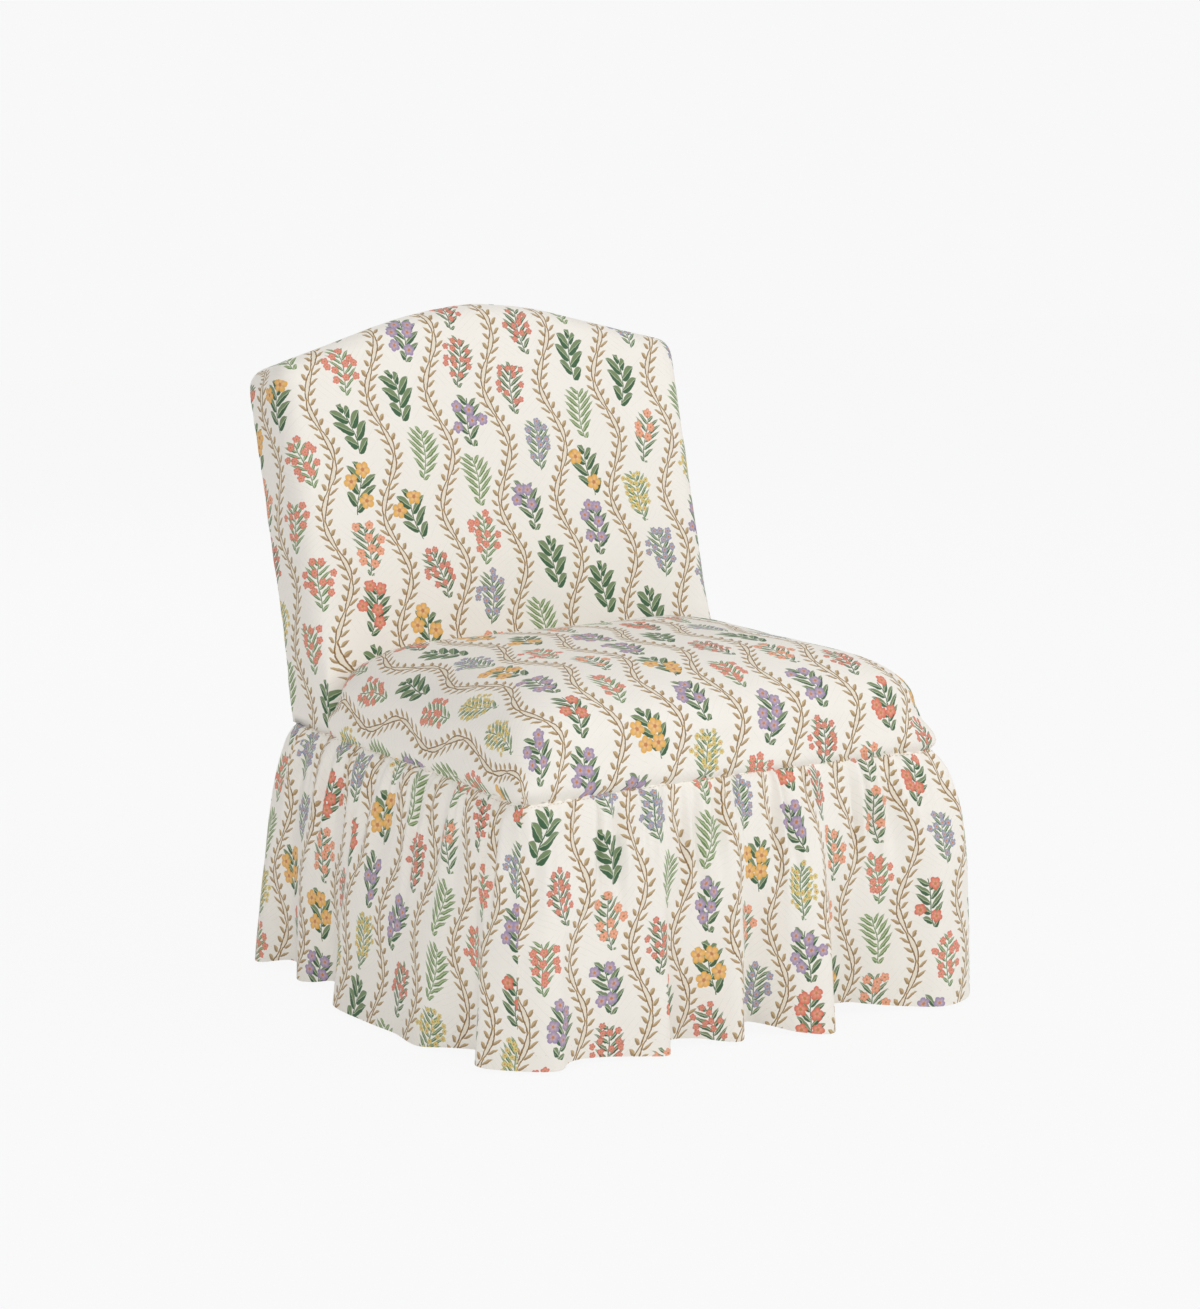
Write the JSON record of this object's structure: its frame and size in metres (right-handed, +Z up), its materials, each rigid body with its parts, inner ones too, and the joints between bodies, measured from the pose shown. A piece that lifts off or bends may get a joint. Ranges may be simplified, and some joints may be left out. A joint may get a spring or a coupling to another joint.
{
  "type": "slipper chair",
  "caption": "Armless slipper chair with a crowned seat, a reclined arched back and a gathered floor-length skirt, fully covered in printed fabric.",
  "frame": {"origin": "on the floor under the centre of the whole chair", "axes": "+Z up, +X to the right of a person facing the chair, +Y towards its back"},
  "size_m": [0.68, 0.764, 0.8447],
  "materials": {
    "wood": "satin",
    "steel": "satin",
    "glide": "matte",
    "webbing": "matte",
    "lining": "matte",
    "card": "matte",
    "foam": "matte",
    "wadding": "matte",
    "print": "matte"
  },
  "bodies": {
    "root": {"front_seat_rail": "wood", "rear_seat_rail": "wood", "left_seat_rail": "wood", "right_seat_rail": "wood", "seat_centre_brace": "wood", "front_left_corner_block": "wood", "rear_left_corner_block": "wood", "front_right_corner_block": "wood", "rear_right_corner_block": "wood", "front_left_leg": "wood", "front_right_leg": "wood", "leg_bolts": "steel", "leg_bolt_nuts": "steel", "crest_rail": "wood", "lower_back_rail": "wood", "back_centre_slat": "wood", "left_back_post": "wood", "right_back_post": "wood", "front_left_glide": "glide", "front_right_glide": "glide", "rear_left_glide": "glide", "rear_right_glide": "glide", "seat_webbing_front_to_back": "webbing", "seat_webbing_side_to_side": "webbing", "seat_deck_cloth": "lining", "back_webbing_upright": "webbing", "back_webbing_side_to_side": "webbing", "dust_cover": "lining", "skirt_tack_strips": "card", "seat_foam": "foam", "seat_wadding": "wadding", "seat_cover": "print", "back_foam": "foam", "back_wadding": "wadding", "inside_back_cover": "print", "outside_back_board": "card", "outside_back_cover": "print", "front_skirt_panel": "print", "right_skirt_panel": "print", "rear_skirt_panel": "print", "left_skirt_panel": "print"}
  },
  "joints": []
}
